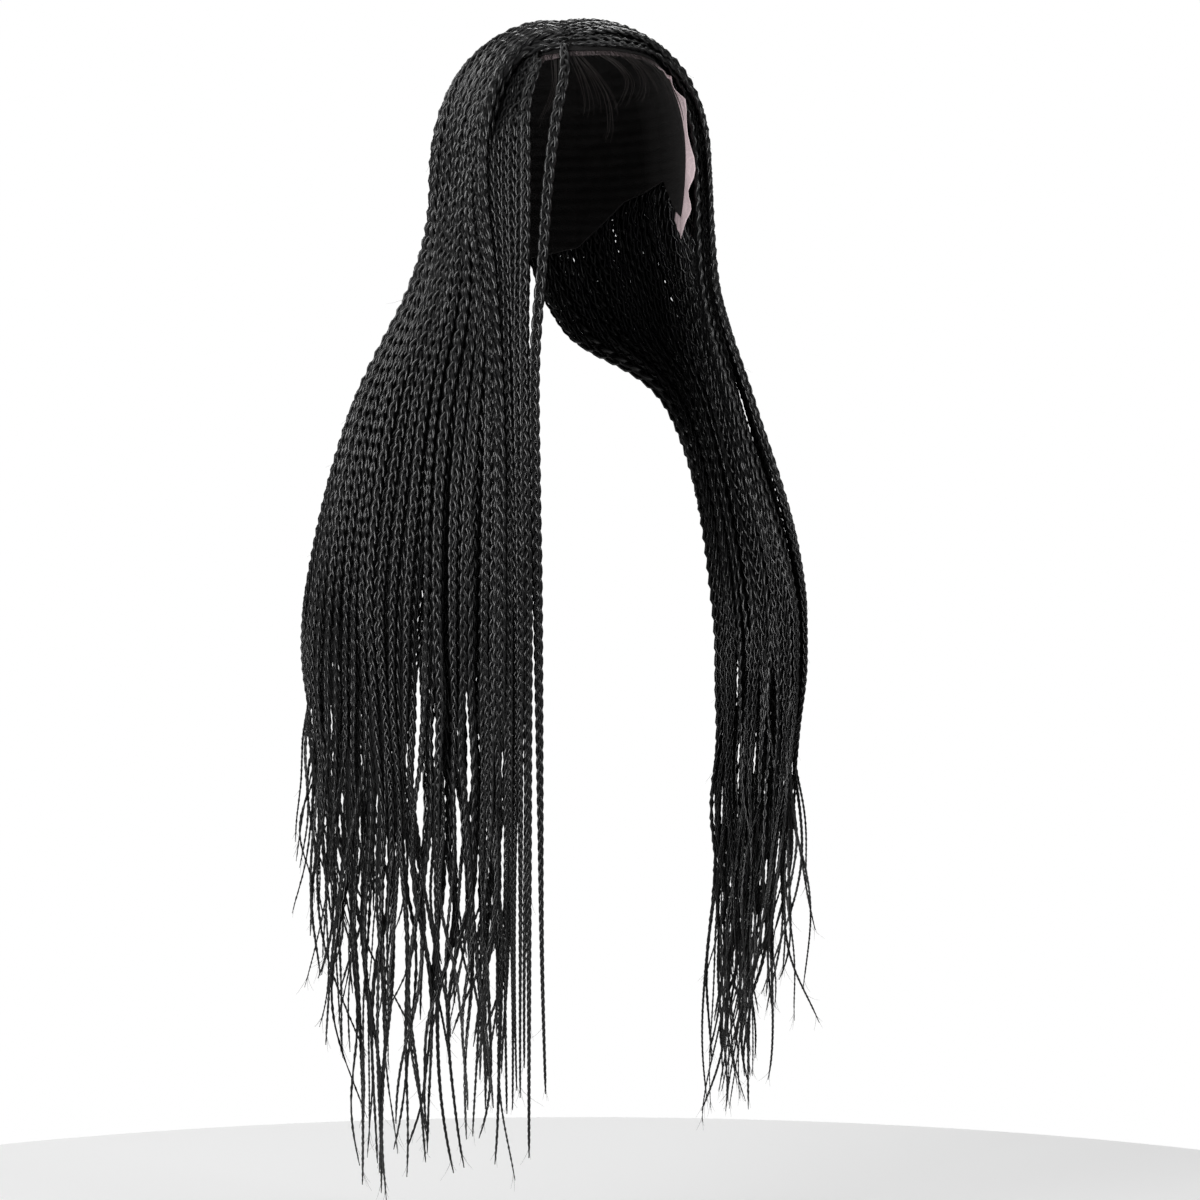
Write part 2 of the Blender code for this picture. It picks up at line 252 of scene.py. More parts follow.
def linear(hexed):
    """Linear red, green, blue and alpha of an sRGB colour given as six hex digits."""
    parts = [int(hexed[place : place + 2], 16) / 255.0 for place in (0, 2, 4)]
    return [part / 12.92 if part <= 0.04045 else ((part + 0.055) / 1.055) ** 2.4 for part in parts] + [1.0]


def unit(vector):
    vector = np.asarray(vector, dtype=float)
    return vector / np.maximum(np.linalg.norm(vector, axis=-1, keepdims=True), 1e-9)


def smooth(values, place):
    """Value at a place in a list of equally spaced values, on a Catmull-Rom curve."""
    values = [np.asarray(value, dtype=float) for value in values]
    last = len(values) - 1
    step = min(int(place), last - 1)
    t = place - step
    p1, p2 = values[step], values[step + 1]
    p0 = values[step - 1] if step > 0 else 2 * p1 - p2
    p3 = values[step + 2] if step + 2 <= last else 2 * p2 - p1
    return p1 + 0.5 * t * (p2 - p0 + t * (2 * p0 - 5 * p1 + 4 * p2 - p3 + t * (3 * (p1 - p2) + p3 - p0)))


def direction(azimuth, height):
    """Unit direction from the widest level of the head to a height at an azimuth from the face."""
    rise = height + HEAD_DOME
    share = rise / (HEAD_DOME if rise >= 0 else HEAD_LOWER)
    across = (1.0 - abs(share) ** HEAD_SQUARENESS) ** (1.0 / HEAD_SQUARENESS)
    angle = math.radians(azimuth)
    return unit((math.sin(angle) * across, -math.cos(angle) * across, share))


def head_surface(way, offset):
    """Point at an offset outside the head hollow in a unit direction."""
    x, y, z = way
    across = math.hypot(x, y)
    power = HEAD_SQUARENESS
    reach = (across**power + abs(z) ** power) ** (-1.0 / power)
    height = HEAD_DOME if z >= 0 else HEAD_LOWER
    point = np.array((HEAD_HALF_WIDTH * x, HEAD_HALF_DEPTH * y, height * z)) * reach
    ring = across ** (power - 2) if across > 1e-9 else 0.0
    rise = math.copysign(abs(z) ** (power - 1), z) if z else 0.0
    normal = unit((ring * x / HEAD_HALF_WIDTH, ring * y / HEAD_HALF_DEPTH, rise / height))
    return point + np.array((0, 0, -HEAD_DOME)) + normal * offset


def head_normal(point):
    """Outward normal of the head at a point close to it."""
    x, y, z = point + np.array((0, 0, HEAD_DOME))
    height = HEAD_DOME if z >= 0 else HEAD_LOWER
    way = unit((x / HEAD_HALF_WIDTH, y / HEAD_HALF_DEPTH, z / height))
    return unit(head_surface(way, 1.0) - head_surface(way, 0.0))


def edge_row(azimuth):
    """Edge height, lace width and lace lift at an azimuth, from the table."""
    columns = np.array(EDGE, dtype=float)
    return [float(np.interp(azimuth, columns[:, 0], columns[:, column])) for column in (1, 2, 3)]


def parting(share):
    """Direction at a share of the way along the parting."""
    front, top, back = (np.array(way) for way in (PARTING_FRONT, PARTING_TOP, PARTING_BACK))
    return unit(smooth([front, top, back], 2.0 * share))


class Group:
    """The curved layer that one side's braids follow, as grids over share (0 front, 1 back) and down."""

    SHARES = 61
    DOWNS = 151

    def __init__(self, guides, side):
        self.side = side
        self.shares = np.linspace(0.0, 1.0, self.SHARES)
        self.downs = np.linspace(0.0, 3.0, self.DOWNS)
        self.points = np.array([self.line(guides, share) for share in self.shares])
        beside = np.gradient(self.points, axis=0)
        ahead = np.gradient(self.points, axis=1)
        normals = unit(np.cross(beside, ahead)) * side
        on_head = self.downs <= 1.0
        for row, points in enumerate(self.points):
            normals[row, on_head] = [head_normal(point) for point in points[on_head]]
        self.normals = normals
        chest = int(round(2.0 / 3.0 * (self.DOWNS - 1)))
        spread = evenly(self.points[:, chest])
        self.spaced = (1 - EVEN_SPACING) * self.shares + EVEN_SPACING * spread / spread[-1]
        rng = np.random.default_rng(SWELL_SEED)
        # Waves across the side, waves down it, and phase of each swell
        self.swells = [
            (rng.uniform(1.0, 7.0), rng.uniform(0.2, 1.3), rng.uniform(0.0, 6.3)) for _ in range(6)
        ]

    def swell(self, share, down):
        """Slow sideways drift that neighbouring braids share, about -1 to 1."""
        waves = [
            np.sin(2 * math.pi * (across * share + along * down) + start)
            for across, along, start in self.swells
        ]
        return sum(waves) / 2.4

    def evenly_placed(self, place):
        """Share of a braid whose place counts the width of the hair as well as the guides."""
        return float(np.interp(place, self.spaced, self.shares))

    def line(self, guides, share):
        place = share * (len(guides) - 1)
        start, mid_azimuth, mid_height, ear_azimuth, ear_height, lift = (
            float(smooth([guide[column] for guide in guides], place)) for column in range(6)
        )
        neck, shoulder, chest = (smooth([guide[column] for guide in guides], place) for column in (6, 7, 8))
        tip = chest * (1.0, 1.0, 0.0) + (0.0, 0.0, float(smooth([guide[9] for guide in guides], place)))
        first = parting(start)
        middle = direction(mid_azimuth, mid_height)
        ear = direction(ear_azimuth, ear_height)

        def over_crown(part):
            way = first * (1 - part) * (1 - 2 * part) + middle * 4 * part * (1 - part)
            way = way + ear * part * (2 * part - 1)
            offset = CAP_WALL + CROWN_CLEARANCE * (0.3 + 0.7 * part) + lift * part * part
            return head_surface(unit(way), offset)

        ear_point = over_crown(1.0)
        before = ear_point - unit(ear_point - over_crown(0.9)) * np.linalg.norm(neck - ear_point)
        hanging = [before, ear_point, neck, shoulder, chest, chest + (tip - chest) * WAIST_SHARE, tip]
        points = []
        for down in self.downs:
            if down <= 1.0:
                points.append(over_crown(down))
            elif down <= 2.0:
                points.append(smooth(hanging, 1.0 + 3.0 * (down - 1.0)))
            else:
                points.append(smooth(hanging, 4.0 + 2.0 * (down - 2.0)))
        return points

    def at(self, share, down):
        """Points and outward normals at arrays of share and down."""
        s = np.clip(share, 0.0, 1.0) * (self.SHARES - 1)
        d = np.clip(down, 0.0, 3.0) / 3.0 * (self.DOWNS - 1)
        s0 = np.minimum(s.astype(int), self.SHARES - 2)
        d0 = np.minimum(d.astype(int), self.DOWNS - 2)
        fs, fd = (s - s0)[:, None], (d - d0)[:, None]
        found = []
        for grid in (self.points, self.normals):
            near = grid[s0, d0] * (1 - fd) + grid[s0, d0 + 1] * fd
            far = grid[s0 + 1, d0] * (1 - fd) + grid[s0 + 1, d0 + 1] * fd
            found.append(near * (1 - fs) + far * fs)
        return found[0], unit(found[1])

    def depth(self, share, down):
        """Depth of the hair at arrays of share and down."""
        table = np.array(DEPTH)
        depth = np.interp(down, table[:, 0], table[:, 1 if self.side > 0 else 2])
        if self.side < 0:
            thinner = OUTER_LOCKS_THINNER * (1.0 - np.sin(math.pi * np.clip(share, 0, 1)))
            depth = depth * (1.0 - thinner * np.clip(down - 1.0, 0.0, 1.0))
        return depth


def wander(rng, places, swing, waves):
    """Slow seeded wave over places from 0 to 1."""
    total = np.zeros_like(places)
    for wave in range(1, waves + 1):
        total += rng.normal() / wave * np.sin(2 * math.pi * wave * 0.8 * places + rng.uniform(0, 2 * math.pi))
    return total * swing


def evenly(points):
    """Distance along a line of points."""
    return np.concatenate(([0.0], np.cumsum(np.linalg.norm(np.diff(points, axis=0), axis=1))))


def soften(values, passes):
    """Moving average that keeps the ends."""
    for _ in range(passes):
        values[1:-1] = 0.25 * values[:-2] + 0.5 * values[1:-1] + 0.25 * values[2:]
    return values


class Strands:
    """Collects closed tubes and makes one mesh of them."""

    def __init__(self):
        self.points, self.faces, self.uvs, self.count = [], [], [], 0

    def tube(self, rings, along):
        """rings: samples x sides x 3, in millimetres; along: distance of each ring."""
        samples, sides = rings.shape[:2]
        index = self.count + np.arange(samples * sides).reshape(samples, sides)
        following = np.roll(index, -1, axis=1)
        quads = np.stack([index[:-1], index[1:], following[1:], following[:-1]], axis=-1).reshape(-1, 4)
        turn = np.arange(sides) / sides
        low = np.broadcast_to(along[:-1, None] * MM, (samples - 1, sides))
        high = np.broadcast_to(along[1:, None] * MM, (samples - 1, sides))
        left = np.broadcast_to(turn, (samples - 1, sides))
        right = left + 1.0 / sides
        uv = np.stack([left, low, left, high, right, high, right, low], axis=-1).reshape(-1, 2)
        self.points.append(rings.reshape(-1, 3) * MM)
        self.faces.append((quads, [index[0], index[-1][::-1]], sides))
        self.uvs.append((uv, np.zeros((2 * sides, 2))))
        self.count += samples * sides

    def build(self, name, material):
        mesh = bpy.data.meshes.new(name)
        corners, starts, coordinates, place = [], [], [], 0
        for (quads, ends, sides), (uv, end_uv) in zip(self.faces, self.uvs):
            corners += [quads.ravel(), *ends]
            starts += [place + 4 * np.arange(len(quads)), place + 4 * len(quads) + np.array([0, sides])]
            coordinates += [uv, end_uv]
            place += 4 * len(quads) + 2 * sides
        points = np.concatenate(self.points).astype(np.float32)
        corners = np.concatenate(corners).astype(np.int32)
        starts = np.concatenate(starts).astype(np.int32)
        mesh.vertices.add(len(points))
        mesh.loops.add(len(corners))
        mesh.polygons.add(len(starts))
        mesh.vertices.foreach_set("co", points.ravel())
        mesh.loops.foreach_set("vertex_index", corners)
        mesh.polygons.foreach_set("loop_start", starts)
        layer = mesh.uv_layers.new(name="strand")
        layer.data.foreach_set("uv", np.concatenate(coordinates).astype(np.float32).ravel())
        mesh.update()
        mesh.validate()
        mesh.shade_smooth()
        mesh.materials.append(material)
        piece = bpy.data.objects.new(name, mesh)
        bpy.context.scene.collection.objects.link(piece)
        return piece


def plait(strands, centre, normal, sizes, turns, sides, spin, start, scale=1.0):
    """Adds a three-strand braid along a centre line; its chevrons point up on the side of the normal."""
    distance = evenly(centre)
    place = distance / distance[-1]
    taper = np.array(TAPER)
    pitch = scale * sizes.turn / MM * np.interp(place, taper[:, 0], taper[:, 2])
    phase = start + np.concatenate(([0.0], np.cumsum(np.diff(distance) / pitch[1:])))
    density = np.interp(place, (0.0, 0.5, 0.8, 1.0), (1.0, 1.0, 0.72, 0.6)) * turns
    budget = np.concatenate(([0.0], np.cumsum(np.diff(phase) * density[1:])))
    samples = int(budget[-1]) + 1
    steps = np.linspace(0.0, budget[-1], samples)
    pick = np.interp(steps, budget, distance)
    line = np.stack([np.interp(pick, distance, centre[:, axis]) for axis in range(3)], axis=1)
    out = unit(np.stack([np.interp(pick, distance, normal[:, axis]) for axis in range(3)], axis=1))
    ahead = unit(np.gradient(line, axis=0))
    out = unit(out - ahead * np.sum(out * ahead, axis=1, keepdims=True))
    side = np.cross(ahead, out)
    angle = np.interp(pick, distance, spin)[:, None]
    out, side = out * np.cos(angle) + side * np.sin(angle), side * np.cos(angle) - out * np.sin(angle)
    reached = pick / distance[-1]
    narrowed = scale + (min(scale, 1.0) - scale) * np.clip(reached * 2.0 - 0.8, 0.0, 1.0)
    width = (narrowed * sizes.width / MM * np.interp(reached, taper[:, 0], taper[:, 1]))[:, None]
    turn = 2 * math.pi * np.interp(pick, distance, phase)
    corner = 2 * math.pi * (np.arange(sides) + 0.5) / sides
    swing = sizes.swing * width
    lift = sizes.lift * width
    half_depth = (sizes.strand_depth * width)[:, :, None]
    for strand in range(3):
        # A strand swings across once a turn and lifts twice, so it goes over one and under the next
        theta = (turn + 2 * math.pi * strand / 3)[:, None]
        path = line + side * swing * np.sin(theta) + out * lift * np.sin(2 * theta)
        fat = 1.0 + MIDDLE_FATTER * np.cos(2 * theta)
        half_width = (sizes.strand_width * width * fat)[:, :, None]
        across = side[:, None, :] * (np.cos(corner)[None, :, None] * half_width)
        deep = out[:, None, :] * (np.sin(corner)[None, :, None] * half_depth)
        strands.tube(path[:, None, :] + across + deep, pick)
    return line, out, side, width[:, 0]


def wisp(strands, points, thick):
    """Adds one fine hair through points, thinning to its end."""
    ahead = unit(np.gradient(points, axis=0))
    side = unit(np.cross(ahead, (0.31, 0.52, 0.79)))
    front = np.cross(ahead, side)
    radius = thick * np.linspace(1.0, 0.3, len(points))[:, None, None]
    corner = 2 * math.pi * np.arange(3) / 3
    rings = side[:, None, :] * np.cos(corner)[None, :, None]
    rings = rings + front[:, None, :] * np.sin(corner)[None, :, None]
    strands.tube(points[:, None, :] + rings * radius, evenly(points))


def flyaways(strands, rng, line, out, side, width, sizes):
    """Short hairs that stand off a braid, and the frayed hairs of its tip."""
    ahead = unit(np.gradient(line, axis=0))
    count = rng.poisson(sizes.flyaways)
    steps = np.linspace(0.0, 1.0, 5)[:, None]
    for _ in range(count):
        start = int(rng.uniform(0.02, 0.98) * (len(line) - 1))
        length = rng.uniform(*FLYAWAY_LENGTHS)
        lean = out[start] * rng.normal(0, 0.35) + side[start] * rng.normal(0, 0.5)
        root = line[start] + side[start] * width[start] * rng.uniform(-0.4, 0.4)
        wisp(strands, root + (ahead[start] * steps + lean * steps**1.6) * length, FLYAWAY_RADIUS)
    for _ in range(FRAYED_HAIRS):
        length = rng.uniform(*FRAYED_LENGTHS)
        lean = out[-1] * rng.normal(0, 0.3) + side[-1] * rng.normal(0, 0.3)
        wisp(strands, line[-4] + (ahead[-4] * steps + lean * steps**1.5) * length, FRAYED_RADIUS)


def hung_braid(strands, rng, centre, normal, sizes, turns, sides, spin, start, scale=1.0):
    """Adds a braid with its flyaway hairs."""
    line, out, beside, width = plait(strands, centre, normal, sizes, turns, sides, spin, start, scale)
    flyaways(strands, rng, line, out, beside, width, sizes)


def swayed(rng, centre, across, deep, rate, delay):
    """The centre line with a slow sway, which starts after a delay and grows at a rate."""
    place = np.linspace(0, 1, len(centre))
    sway = np.stack([wander(rng, place, across, 4), wander(rng, place, deep, 4), 0 * place], axis=1)
    return centre + sway * np.clip(place * rate - delay, 0, 1)[:, None]


def braid_line(group, rng, share, row, sizes):
    """Centre line and normals of one braid of a row, in millimetres."""
    root, at_root, at_ear, at_chest, at_tip, scatter = row[1:7]
    start = root + rng.uniform(0.0, 0.05 if root > 0.1 else 0.01)
    end = 3.0 - sizes.tip_scatter * rng.uniform(0.0, 1.0) ** 1.4
    down = np.linspace(start, end, 300)
    place = (down - start) / (end - start)
    loose = np.clip((down - 0.8) / 1.2, 0.0, 1.0)
    tip = np.clip((down - 1.9) / 1.1, 0.0, 1.0)
    spread = sizes.wander / MM / SIDE_WIDTH
    shared = group.swell(share, down) * spread * 0.5
    own = wander(rng, place, spread * 0.25, 3) + wander(rng, place * 2.5, spread * 0.5, 4) * tip
    clumps = RIGHT_CLUMPS if group.side > 0 else LEFT_CLUMPS
    clump = (math.floor(share * clumps) + 0.5 + 0.3 * math.sin(40.0 * math.floor(share * clumps))) / clumps
    across = share + (shared + own) * loose + rng.normal(0, 0.7) * spread * tip**2
    across = across + (clump - share) * CLUMPING * tip**2
    offset = rng.uniform(-scatter, scatter)
    layer = np.interp(down, (start, 1.0, 2.0, 3.0), (at_root, at_ear, at_chest, at_tip))
    layer = np.clip(layer + offset * loose + wander(rng, place, 0.07, 4) * loose, 0.05, 0.98)
    points, normals = group.at(across, down)
    depth = group.depth(across, down)
    half = 0.25 * sizes.width / MM
    points = points + normals * np.clip(layer * depth, half * 0.7, np.maximum(depth - half, half))[:, None]
    flick = tip[:, None] ** 1.5 * sizes.flick / MM
    sway = np.stack([wander(rng, place * 4, 1.0, 3), wander(rng, place * 4, 1.0, 3), 0 * place], axis=1)
    ending = np.clip((place - 0.84) / 0.16, 0.0, 1.0)[:, None]
    bend = rng.normal(0.0, 1.0, 3) * ending**1.8 - rng.normal(0.0, 0.5, 3) * np.sin(math.pi * ending)
    curl = bend * (1.0, 1.0, 0.3) * sizes.flick / MM
    return soften(points + sway * flick * 0.45 + curl, 3), normals


def hairline_line(group, rng, rise, row, sizes):
    """Centre line of a braid along the hairline at a height over it, which then joins its side's front."""
    centre, normal = braid_line(group, rng, 0.004 * rise, row, sizes)
    down = np.linspace(row[1], 2.9, len(centre))
    hairline = RIGHT_HAIRLINE if group.side > 0 else LEFT_HAIRLINE
    azimuths = np.interp(down, (0.0, 0.25, 0.5, 0.75, 1.0), hairline)
    joined = np.clip((down - 0.35) / 0.45, 0.0, 1.0)
    joined = joined * joined * (3 - 2 * joined)
    for step, (azimuth, share) in enumerate(zip(azimuths, joined)):
        if share < 1.0:
            on_edge = head_surface(direction(azimuth, edge_row(azimuth)[0] + rise), CAP_WALL + HAIRLINE_LIFT)
            centre[step] = on_edge * (1 - share) + centre[step] * share
            normal[step] = head_normal(centre[step])
    return soften(centre, 4), normal


def outside_head(point, offset):
    """The point, or if it is nearer to the head than the offset, the one that far off it."""
    x, y, z = point + np.array((0, 0, HEAD_DOME))
    height = HEAD_DOME if z >= 0 else HEAD_LOWER
    surface = head_surface(unit((x / HEAD_HALF_WIDTH, y / HEAD_HALF_DEPTH, z / height)), offset)
    return surface if np.dot(point - surface, head_normal(point)) < 0 else point


def temple_line(group, share):
    """Centre line of a braid between the hanging front braid and the right side's first braid."""
    front = np.array(FRONT_BRAIDS["front_braid_2"], dtype=float)
    front = np.array([smooth(front, place) for place in np.linspace(0, len(front) - 1, 80)])
    down = np.linspace(0.1, 2.97, 200)
    first, normals = group.at(np.zeros_like(down), down)
    first = first + normals * 0.6 * group.depth(np.zeros_like(down), down)[:, None]
    azimuth = TEMPLE_AZIMUTHS[0] + (TEMPLE_AZIMUTHS[1] - TEMPLE_AZIMUTHS[0]) * share
    root = head_surface(direction(azimuth, edge_row(azimuth)[0] + 2.0), CAP_WALL + HAIRLINE_LIFT)
    points = [root]
    for height in np.linspace(root[2] - 6.0, TEMPLE_TIP, 60):
        pair = [
            [np.interp(-height, -line[:, 2], line[:, axis]) for axis in (0, 1)] for line in (front, first)
        ]
        level = np.append(np.array(pair[0]) * (1 - share) + np.array(pair[1]) * share, height)
        near_root = max(0.0, 1.0 - (root[2] - height) / 45.0)
        level[:2] = level[:2] * (1 - near_root) + root[:2] * near_root
        points.append(outside_head(level, CAP_WALL + HAIRLINE_LIFT))
    return np.array([smooth(points, place) for place in np.linspace(0, len(points) - 1, 300)])


def nape_line(right, left, share):
    """Centre line and normals of a braid between the sides at the back, which joins the right's last ones."""
    down = np.linspace(0.1, 2.9, 280)
    ends = np.ones_like(down)
    last, last_normals = right.at(ends - 0.06 * share * np.clip(down - 0.8, 0.0, 1.0), down)
    other, other_normals = left.at(ends, down)
    over = np.clip((down - 0.75) / 0.65, 0.0, 1.0)[:, None]
    over = share * (1.0 - over * over * (3.0 - 2.0 * over))
    normals = unit(last_normals * (1.0 - over) + other_normals * over)
    lift = 0.45 * right.depth(ends, down)[:, None]
    return soften(last * (1.0 - over) + other * over + normals * lift, 4), normals


def shader_tree(name, roughness, colour=None):
    """New material with its Principled shader at a roughness and, if one is given, a plain colour."""
    made = bpy.data.materials.new(name)
    made.use_nodes = True
    tree = made.node_tree
    shader = tree.nodes["Principled BSDF"]
    shader.inputs["Roughness"].default_value = roughness
    if colour:
        shader.inputs["Base Color"].default_value = colour
    return made, tree, shader


def add_node(tree, kind, settings=(), values=(), links=()):
    """Adds a node with settings, input values and links from other sockets."""
    made = tree.nodes.new(kind)
    for key, value in dict(settings).items():
        setattr(made, key, value)
    for key, value in dict(values).items():
        made.inputs[key].default_value = value
    for key, socket in dict(links).items():
        tree.links.new(socket, made.inputs[key])
    return made


def braiding_fibre():
    """Heat-set synthetic braiding fibre: near black, with a soft sheen broken by lines along each strand."""
    if FIBRE_NAME in bpy.data.materials:
        return bpy.data.materials[FIBRE_NAME]
    colour = linear(bpy.context.scene.wig_braids.colour_hex)
    made, tree, shader = shader_tree(FIBRE_NAME, 0.31)
    # 16 lines round a strand, each about 18 mm long: real fibres are too fine to show in the render
    strand = add_node(tree, "ShaderNodeUVMap", {"uv_map": "strand"})
    stretched = add_node(
        tree, "ShaderNodeMapping", {}, {"Scale": (16.0, 55.0, 1.0)}, {"Vector": strand.outputs["UV"]}
    )
    lines = add_node(
        tree,
        "ShaderNodeTexNoise",
        {"noise_dimensions": "2D"},
        {"Scale": 1.0, "Detail": 3.0, "Roughness": 0.6},
        {"Vector": stretched.outputs["Vector"]},
    )
    ramp = add_node(tree, "ShaderNodeValToRGB", {}, {}, {"Fac": lines.outputs["Fac"]})
    ramp.color_ramp.elements[0].position = 0.35
    ramp.color_ramp.elements[1].position = 0.75
    ramp.color_ramp.elements[0].color = [0.55 * part for part in colour[:3]] + [1.0]
    ramp.color_ramp.elements[1].color = [1.6 * part for part in colour[:3]] + [1.0]
    bump = add_node(
        tree, "ShaderNodeBump", {}, {"Strength": 0.7, "Distance": 0.00005}, {"Height": lines.outputs["Fac"]}
    )
    tree.links.new(ramp.outputs["Color"], shader.inputs["Base Color"])
    tree.links.new(bump.outputs["Normal"], shader.inputs["Normal"])
    shader.inputs["Specular IOR Level"].default_value = 0.5
    return made


def fine_hair(colour):
    """Single loose fibres of the same hair, plain because each is thinner than its own texture."""
    return shader_tree("fine_hair", 0.5, colour)[0]


def lace_net(colour):
    """Fine knitted net of pale nylon: see-through as one layer on the forehead, closed where it is folded."""
    made, tree, shader = shader_tree("nylon_lace_net", 0.6, colour)
    # Cells 0.9 mm wide, and a change from one layer to folds between 40 and 60 mm to the left
    place = add_node(tree, "ShaderNodeTexCoord")
    cells = add_node(
        tree,
        "ShaderNodeTexVoronoi",
        {"feature": "DISTANCE_TO_EDGE"},
        {"Scale": 1100.0, "Randomness": 0.35},
        {"Vector": place.outputs["Object"]},
    )
    thread = add_node(
        tree,
        "ShaderNodeMapRange",
        {},
        {"From Min": 0.05, "From Max": 0.16, "To Min": 1.0, "To Max": 0.75},
        {"Value": cells.outputs["Distance"]},
    )
    across = add_node(tree, "ShaderNodeSeparateXYZ", {}, {}, {"Vector": place.outputs["Object"]})
    doubled = add_node(
        tree,
        "ShaderNodeMapRange",
        {},
        {"From Min": 0.040, "From Max": 0.060, "To Min": 0.10, "To Max": 1.0},
        {"Value": across.outputs["X"]},
    )
    cover = add_node(
        tree,
        "ShaderNodeMath",
        {"operation": "MULTIPLY"},
        {},
        {0: thread.outputs["Result"], 1: doubled.outputs["Result"]},
    )
    tree.links.new(cover.outputs["Value"], shader.inputs["Alpha"])
    return made


def cap_net(colour):
    """Black stretch net with sewn rows of weft: matt, with a row every 8 mm and cells of 1.7 mm."""
    made, tree, shader = shader_tree("woven_cap_net", 0.85, colour)
    place = add_node(tree, "ShaderNodeTexCoord")
    rows = add_node(
        tree,
        "ShaderNodeTexWave",
        {"bands_direction": "Z"},
        {"Scale": 40.0, "Distortion": 0.4, "Detail": 1.0},
        {"Vector": place.outputs["Object"]},
    )
    cells = add_node(
        tree,
        "ShaderNodeTexVoronoi",
        {"feature": "DISTANCE_TO_EDGE"},
        {"Scale": 600.0},
        {"Vector": place.outputs["Object"]},
    )
    height = add_node(
        tree,
        "ShaderNodeMath",
        {"operation": "ADD"},
        {},
        {0: rows.outputs["Fac"], 1: cells.outputs["Distance"]},
    )
    bump = add_node(
        tree, "ShaderNodeBump", {}, {"Strength": 0.8, "Distance": 0.0008}, {"Height": height.outputs["Value"]}
    )
    tree.links.new(bump.outputs["Normal"], shader.inputs["Normal"])
    return made


def floor_paint(colour):
    """Matt pale studio floor."""
    return shader_tree("floor_paint", 0.9, colour)[0]


def group_braids(side):
    """Every braid of one side: its share, centre line, normals, samples and sides, front to back."""
    sizes = bpy.context.scene.wig_braids
    guides, rows, offsets, wide = (
        (RIGHT_GUIDES, RIGHT_ROWS, RIGHT_OFFSETS, 1.0)
        if side == "right"
        else (LEFT_GUIDES, LEFT_ROWS, LEFT_OFFSETS, LEFT_WIDTH_SHARE)
    )
    group = Group(guides, 1.0 if side == "right" else -1.0)
    rng = np.random.default_rng(SEEDS[side])
    braids = []
    for number, row in enumerate(rows):
        count = row[0]
        for braid in range(count):
            share = (braid + offsets[number] + rng.uniform(-1, 1) * ROW_JITTER[number]) / count
            share = group.evenly_placed(min(max(share, 0.012), 0.988))
            centre, normal = braid_line(group, rng, share, row, sizes)
            braids.append((share, centre, normal, row[7], row[8], wide * ROW_WIDTHS[number]))
    for rise in HAIRLINE_RISES:
        centre, normal = hairline_line(group, rng, rise, rows[0], sizes)
        braids.append((0.0, centre, normal, *HAIRLINE_DETAIL, wide))
    return rng, sorted(braids, key=lambda braid: braid[0])


def braid_pieces(side, pieces):
    """One mesh for each run of neighbouring braids, in place of the locks that they fill."""
    sizes = bpy.context.scene.wig_braids
    rng, braids = group_braids(side)
    nodes = [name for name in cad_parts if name.startswith(f"lock_{side}_")]
    nodes.sort(key=lambda name: int(name.rsplit("_", 1)[1]))
    per_piece = len(nodes) // pieces
    for number in range(pieces):
        strands = Strands()
        for share, centre, normal, turns, sides, wide in braids:
            if min(int(share * pieces), pieces - 1) != number:
                continue
            spin = rng.normal(0.0, 0.25) + wander(rng, np.linspace(0, 1, len(centre)), 0.5, 3)
            scale = wide * rng.uniform(0.86, 1.10)
            hung_braid(strands, rng, centre, normal, sizes, turns, sides, spin, rng.uniform(), scale)
        piece = strands.build(f"braids_{side}_{number + 1}", braiding_fibre())
        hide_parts(*nodes[number * per_piece : (number + 1) * per_piece])
        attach(piece, "root")


def length_size(name, description, default):
    """Property for a length in metres."""
    return bpy.props.FloatProperty(name=name, description=description, default=default, unit="LENGTH")


def share_size(name, description, default):
    """Property for a share of another size."""
    return bpy.props.FloatProperty(name=name, description=description, default=default, subtype="FACTOR")


def colour_size(name, description, default):
    """Property for a colour given as six hex digits."""
    return bpy.props.StringProperty(name=name, description=description, default=default)


class WigBraidSizes(bpy.types.PropertyGroup):
    width: length_size("Braid width", "Widest width of a braid", 0.0084)
    turn: length_size("Turn length", "Length in which a strand swings across and back", 0.033)
    swing: share_size("Swing", "Strand swing to the side as a share of the width", 0.30)
    lift: share_size("Lift", "Strand lift over its neighbour as a share of the width", 0.14)
    strand_width: share_size("Strand half width", "As a share of the braid's width", 0.225)
    strand_depth: share_size("Strand half depth", "As a share of the braid's width", 0.19)
    wander: length_size("Wander", "How far a hanging braid strays sideways", 0.005)
    flick: length_size("Tip flick", "How far a tip turns aside", 0.011)
    tip_scatter: share_size("Tip scatter", "Shortest tip, in shares of the chest to tip length", 0.28)
    flyaways: bpy.props.FloatProperty(name="Flyaways", description="Loose hairs on each braid", default=6.0)
    colour_hex: colour_size("Colour", "Hair colour, six hex digits", "0A0A0B")


class WigLaceSizes(bpy.types.PropertyGroup):
    wall: length_size("Lace wall", "Thickness of the net", 0.0005)
    ruffle: length_size("Ruffle", "Height of the folds at the loose temple", 0.0022)
    hair_width: length_size("Baby hair", "Radius of one baby hair", 0.00030)
    colour_hex: colour_size("Lace colour", "Net colour, six hex digits", "FFE8EC")


class WigStageSizes(bpy.types.PropertyGroup):
    azimuth: bpy.props.FloatProperty(
        name="Camera azimuth",
        description="Round the wig from the face",
        default=math.radians(-22.0),
        subtype="ANGLE",
    )
    distance: length_size("Camera distance", "From the wig's axis", 2.75)
    frame_width: length_size("Frame width", "Width of the frame at the wig", 0.857)
    centre_height: length_size("Frame centre height", "Height of the frame's centre", -0.406)
    centre_right: length_size("Frame centre offset", "Frame centre to the right of the axis", 0.021)
    floor_drop: length_size("Floor drop", "Floor below the lowest tip", 0.06)


